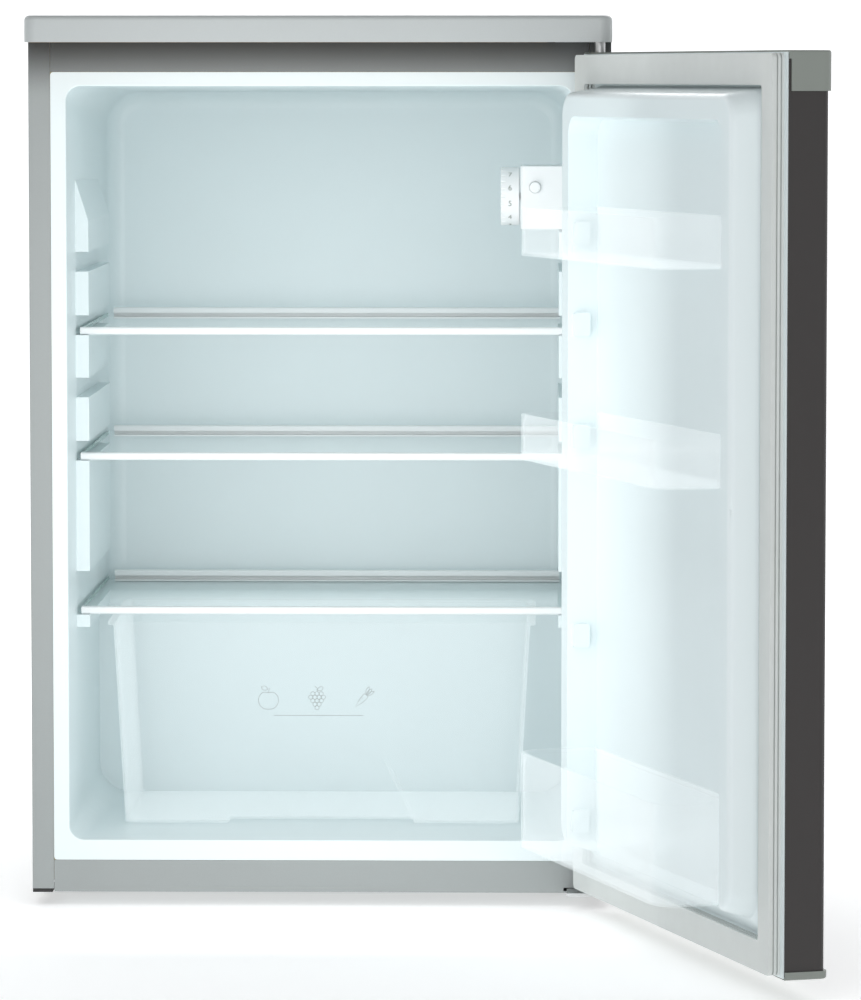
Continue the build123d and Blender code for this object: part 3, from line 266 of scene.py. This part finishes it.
FINISHES = {
    "worktop_laminate": enamel("worktop_laminate", rgb(0.47, 0.50, 0.50), 0.42, 0.1, 0.2),
    # the grey enamel carries the painted shadow under the worktop
    "grey_enamel": enamel("grey_enamel", rgb(0.33, 0.355, 0.353), 0.45, 0.1, 0.2, 0.93),
    "dark_enamel": enamel("dark_enamel", rgb(0.038, 0.034, 0.033), 0.5),
    "black_enamel": enamel("black_enamel", rgb(0.018, 0.018, 0.018), 0.4),
    "white_liner": moulded("white_liner", rgb(0.84, 0.925, 0.94), 0.32),
    "white_plastic": moulded("white_plastic", rgb(0.92, 0.945, 0.95), 0.3),
    "grey_plastic": moulded("grey_plastic", rgb(0.26, 0.285, 0.26), 0.42, 500.0, 0.00004),
    "black_plastic": moulded("black_plastic", rgb(0.02, 0.02, 0.02), 0.5, 500.0, 0.00005),
    "grey_rubber": soft_rubber("grey_rubber", rgb(0.70, 0.73, 0.715)),
    "black_rubber": soft_rubber("black_rubber", rgb(0.02, 0.02, 0.02)),
    "magnet_strip": soft_rubber("magnet_strip", rgb(0.05, 0.04, 0.04)),
    "zinc_sheet": sheet_metal("zinc_sheet", rgb(0.6, 0.61, 0.61)),
    "zinc_screw": drawn_metal("zinc_screw", rgb(0.65, 0.65, 0.62), 0.3),
    "aluminium_plate": drawn_metal("aluminium_plate", rgb(0.78, 0.78, 0.79), 0.4),
    "copper_pipe": drawn_metal("copper_pipe", rgb(0.66, 0.34, 0.2), 0.28),
    "insulation_foam": cut_foam("insulation_foam", rgb(0.75, 0.66, 0.38)),
    "chipboard": pressed_chips("chipboard", rgb(0.42, 0.28, 0.16)),
    "clear_plastic": clear_plastic("clear_plastic", rgb(0.93, 0.97, 0.98)),
    "shelf_glass": float_glass("shelf_glass", rgb(0.70, 0.86, 0.83), rgb(0.2, 0.42, 0.37), 0.07),
    "clear_glass": float_glass("clear_glass", rgb(0.93, 0.95, 0.95), rgb(0.9, 0.92, 0.92), 0.3, 0.5),
}


def dress_cad_nodes():
    """Gives each carried-over node the finish its record slot names."""
    slot_of = {s["node"]: s["material_slot"] for s in frame["record"]["subparts"]}
    for node, thing in frame["nodes"].items():
        thing.data.materials.clear()
        thing.data.materials.append(FINISHES[slot_of[node]])


# ---- added pieces ----
def bring_in(name, mesh, finish, body):
    """Adds a mesh as a piece of the object that rides on a body."""
    mesh.materials.clear()
    mesh.materials.append(FINISHES[finish])
    piece = bpy.data.objects.new(name, mesh)
    bpy.context.scene.collection.objects.link(piece)
    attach(piece, body)
    return piece


def as_mesh(curve, name):
    """Final mesh of a curve or a text."""
    holder = bpy.data.objects.new(name, curve)
    bpy.context.scene.collection.objects.link(holder)
    bpy.context.view_layer.update()
    mesh = bpy.data.meshes.new_from_object(holder)
    bpy.data.objects.remove(holder)
    return mesh


def join_meshes(name, placed):
    """One mesh out of (mesh, matrix) pairs."""
    verts, faces = [], []
    for mesh, matrix in placed:
        start = len(verts)
        verts += [matrix @ v.co for v in mesh.vertices]
        faces += [[start + i for i in p.vertices] for p in mesh.polygons]
    whole = bpy.data.meshes.new(name)
    whole.from_pydata(verts, [], faces)
    whole.update()
    return whole


def drawn_lines(name, lines, width):
    """Flat outlines, drawn as thin round lines; each line is (points, closed)."""
    curve = bpy.data.curves.new(name, "CURVE")
    curve.dimensions = "3D"
    curve.bevel_depth, curve.bevel_resolution = width / 2, 1
    for points, closed in lines:
        spline = curve.splines.new("POLY")
        spline.points.add(len(points) - 1)
        for target, (x, z) in zip(spline.points, points):
            target.co = (x, 0, z, 1)
        spline.use_cyclic_u = closed
    return as_mesh(curve, name)


def ring(cx, cz, radius, count=20):
    turns = [2 * pi * i / count for i in range(count)]
    return [(cx + radius * cos(turn), cz + radius * sin(turn)) for turn in turns]


def leaf(cx, cz, length, width, turn, count=16):
    """Pointed oval."""
    points = []
    for i in range(count):
        t = 2 * pi * i / count
        u, v = length / 2 * cos(t), width / 2 * sin(t) * abs(sin(t))
        points.append((cx + u * cos(turn) - v * sin(turn), cz + u * sin(turn) + v * cos(turn)))
    return points


def apple_lines(size):
    body = []
    for i in range(40):
        t = 2 * pi * i / 40
        away = abs((t - pi / 2 + pi) % (2 * pi) - pi)
        dip = 1 - 0.22 * exp(-((away / 0.4) ** 2))
        base_dip = 1 - 0.07 * exp(-(((pi - away) / 0.35) ** 2))
        radius = size * 0.5 * dip * base_dip
        body.append((radius * 1.02 * cos(t), radius * 0.98 * sin(t) - size * 0.12))
    stalk = [(0, size * 0.26), (size * 0.03, size * 0.42), (size * 0.09, size * 0.52)]
    leaf_line = leaf(-size * 0.2, size * 0.5, size * 0.36, size * 0.22, -0.35)
    return [(body, True), (stalk, False), (leaf_line, True)]


def grape_lines(size):
    lines, berry = [], size * 0.105
    rows = [(3, 0.22), (4, 0.04), (3, -0.14), (2, -0.32), (1, -0.5)]
    for count, height in rows:
        for i in range(count):
            lines.append((ring((i - (count - 1) / 2) * berry * 2.05, size * height, berry, 14), True))
    stalk = [(0, size * 0.32), (size * 0.01, size * 0.5), (-size * 0.12, size * 0.6)]
    return lines + [(stalk, False), (leaf(size * 0.17, size * 0.47, size * 0.34, size * 0.2, 0.5), True)]


def carrot_lines(size):
    def turned(points):
        c, s = cos(radians(48)), sin(radians(48))
        return [(x * c - z * s, x * s + z * c) for x, z in points]

    top, tip, half = size * 0.18, -size * 0.62, size * 0.17
    side = [(top, half * 0.8), (top + size * 0.05, 0), (top, -half * 0.8)]
    outline = [(tip, 0), (top - size * 0.35, half * 0.72)] + side + [(top - size * 0.35, -half * 0.72)]
    ticks = [([(x * size, half * 0.62), (x * size, half * 0.1)], False) for x in (-0.05, -0.22)]
    greens = [(leaf(size * 0.42, lift * size, size * 0.42, size * 0.15, turn), True)
              for lift, turn in ((0.11, 0.35), (0.0, 0.0), (-0.11, -0.35))]
    return [(turned(points), closed) for points, closed in [(outline, True)] + ticks + greens]


def drawer_marks():
    """Three outline pictures and a rule on the drawer's front."""
    low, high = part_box("crisper_drawer")
    middle_x = (low.x + high.x) / 2 + MARK_CENTRE_SHIFT
    pictures = [
        (APPLE_X, PICTURE_Z, apple_lines(PICTURE_SIZE)),
        (GRAPES_X, PICTURE_Z, grape_lines(PICTURE_SIZE)),
        (CARROT_X, PICTURE_Z, carrot_lines(PICTURE_SIZE)),
        (0.0, RULE_Z, [([(x, 0) for x in RULE_ENDS], False)]),
    ]
    placed = []
    for x, z, lines in pictures:
        front_y = DRAWER_BASE_Y - DRAWER_LEAN * (z - DRAWER_BASE_Z) / DRAWER_HEIGHT - MARK_LIFT
        spot = Matrix.Translation((middle_x + x, front_y, z))
        placed.append((drawn_lines("picture", lines, MARK_WIDTH), spot))
    bring_in("drawer_marks", join_meshes("drawer_marks", placed), "grey_enamel", "crisper_drawer")


def dial_numbers():
    """Numbers 0 to 7 round the thermostat's drum."""
    placed = []
    for number in range(8):
        text = bpy.data.curves.new("number", "FONT")
        text.body, text.size, text.extrude = str(number), NUMBER_SIZE, NUMBER_DEPTH
        text.align_x, text.align_y = "CENTER", "CENTER"
        lean = LEAN_OF_5 + (number - 5) * NUMBER_STEP
        out, up = Vector((0, -cos(lean), sin(lean))), Vector((0, sin(lean), cos(lean)))
        turn = Matrix((Vector((1, 0, 0)), up, out)).transposed().to_4x4()
        spot = Matrix.Translation(DRUM_CENTRE + out * PRINT_RADIUS)
        placed.append((as_mesh(text, "number"), spot @ turn))
    bring_in("dial_numbers", join_meshes("dial_numbers", placed), "grey_plastic", "thermostat_knob")


# ---- studio ----
def studio_surface():
    """Pale floor that curves up into a backdrop; the paper is only there seen from its front."""
    f = Finish("studio_paper")
    paper = f.noise(5.0, 4.0)
    inside = 1.0 - f.node("ShaderNodeNewGeometry", out="Backfacing")
    tone = f.mix(paper, rgb(0.90, 0.905, 0.91), rgb(0.93, 0.935, 0.94))
    skin = f.close({"Alpha": inside, "Base Color": tone,
                    "Roughness": f.spread(paper, 0.8, 0.95),
                    "Emission Color": rgb(1, 1, 1), "Emission Strength": 0.42})
    profile = [(-FLOOR_REACH, 0.0), (RISE_Y, 0.0)]
    for angle in range(10, 91, 10):
        turn = radians(angle)
        profile.append((RISE_Y + RISE_RADIUS * sin(turn), RISE_RADIUS * (1 - cos(turn))))
    profile.append((RISE_Y + RISE_RADIUS, BACKDROP_TOP_Z))
    verts = [(x, y, z) for y, z in profile for x in (-FLOOR_REACH, FLOOR_REACH)]
    faces = [(2 * i, 2 * i + 1, 2 * i + 3, 2 * i + 2) for i in range(len(profile) - 1)]
    mesh = bpy.data.meshes.new("studio_floor")
    mesh.from_pydata(verts, [], faces)
    for face in mesh.polygons:
        face.use_smooth = True
    mesh.materials.append(skin)
    floor = bpy.data.objects.new("studio_floor", mesh)
    bpy.context.scene.collection.objects.link(floor)


def sunlight(name, towards, strength, spread):
    """Even light from far away, softened by the spread of its source."""
    light = bpy.data.lights.new(name, "SUN")
    light.energy, light.angle = strength, radians(spread)
    lamp = bpy.data.objects.new(name, light)
    lamp.rotation_euler = Vector(towards).to_track_quat("-Z", "Y").to_euler()
    bpy.context.scene.collection.objects.link(lamp)


def softbox(name, place, target, size, power):
    """Soft panel of light, itself out of sight."""
    light = bpy.data.lights.new(name, "AREA")
    light.shape, light.size, light.size_y = "RECTANGLE", *size
    light.energy = power
    lamp = bpy.data.objects.new(name, light)
    lamp.location, lamp.visible_camera = place, False
    lamp.rotation_euler = (Vector(target) - Vector(place)).to_track_quat("-Z", "Y").to_euler()
    bpy.context.scene.collection.objects.link(lamp)


def studio_lights():
    world = bpy.data.worlds.new("studio")
    world.use_nodes = True
    sky = world.node_tree.nodes["Background"]
    sky.inputs["Color"].default_value = (0.97, 0.985, 1.0, 1.0)
    sky.inputs["Strength"].default_value = 0.34
    bpy.context.scene.world = world
    sunlight("front", (0.06, 1.0, -0.03), 0.85, 50)
    sunlight("key", (0.35, 0.75, -1.0), 0.3, 40)
    softbox("fill", (-0.02, -0.3, 0.44), (-0.02, 0.3, 0.44), (0.42, 0.66), 1.0)
    softbox("rear", (0.4, 2.3, 1.9), (0.0, 0.5, 0.4), (2.4, 1.2), 22.0)


def studio_camera():
    data = bpy.data.cameras.new("view")
    data.lens, data.sensor_width, data.sensor_fit = 197.5, 36.0, "AUTO"
    data.clip_end = 60.0
    camera = bpy.data.objects.new("view", data)
    camera.location = (0.2048, -5.1734, 0.7894)
    camera.rotation_euler = (radians(90 - 4.43), 0.0, radians(1.11))
    bpy.context.scene.collection.objects.link(camera)
    bpy.context.scene.camera = camera


dress_cad_nodes()
drawer_marks()
dial_numbers()
studio_surface()
studio_lights()
studio_camera()
bpy.context.scene.view_settings.view_transform = "Standard"
# light crosses many clear walls on its way to the liner
bpy.context.scene.cycles.transparent_max_bounces = 32
